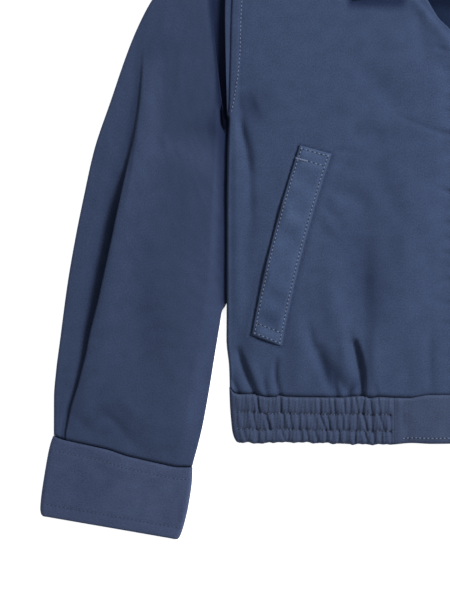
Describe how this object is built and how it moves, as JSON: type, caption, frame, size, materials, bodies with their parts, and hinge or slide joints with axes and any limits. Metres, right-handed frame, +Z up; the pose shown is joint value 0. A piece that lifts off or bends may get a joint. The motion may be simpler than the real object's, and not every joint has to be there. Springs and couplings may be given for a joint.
{
  "type": "bomber jacket",
  "caption": "Child's cotton twill zip blouson laid flat, with fold-over collar, slanted welt pockets, plain cuffs and an elastic hem band with plain front tabs.",
  "frame": {"origin": "middle of the jacket's outline on the surface it lies on", "axes": "+X towards the wearer's left sleeve (to the right as seen from above), +Y from the hem towards the collar, +Z up from the surface"},
  "size_m": [0.5876, 0.4776, 0.016],
  "materials": {
    "twill": "matt cotton twill, slate navy, faint diagonal weave",
    "twill_double": "matt cotton twill, slate navy, double cloth with edge stitching",
    "zip_tape": "matt woven tape, dark navy, with nylon coil",
    "zip_metal": "satin nickel"
  },
  "bodies": {
    "jacket": {"back_panel": "twill", "front_right": "twill", "front_left": "twill", "sleeve_right": "twill", "sleeve_left": "twill", "cuff_right": "twill_double", "cuff_left": "twill_double", "hem_band": "twill_double", "hem_tab_right": "twill_double", "hem_tab_left": "twill_double", "pocket_welt_right": "twill_double", "pocket_welt_left": "twill_double", "collar": "twill_double", "zip_half_right": "zip_tape", "zip_half_left": "zip_tape", "zip_slider": "zip_metal"},
    "pull": {"zip_pull": "zip_metal"}
  },
  "joints": [
    {"name": "pull_hinge", "type": "hinge", "parent": "jacket", "child": "pull", "pos_m": [0, 0.10245, 0.0066], "axis": [1, 0, 0], "range_deg": [-170, 0]}
  ]
}
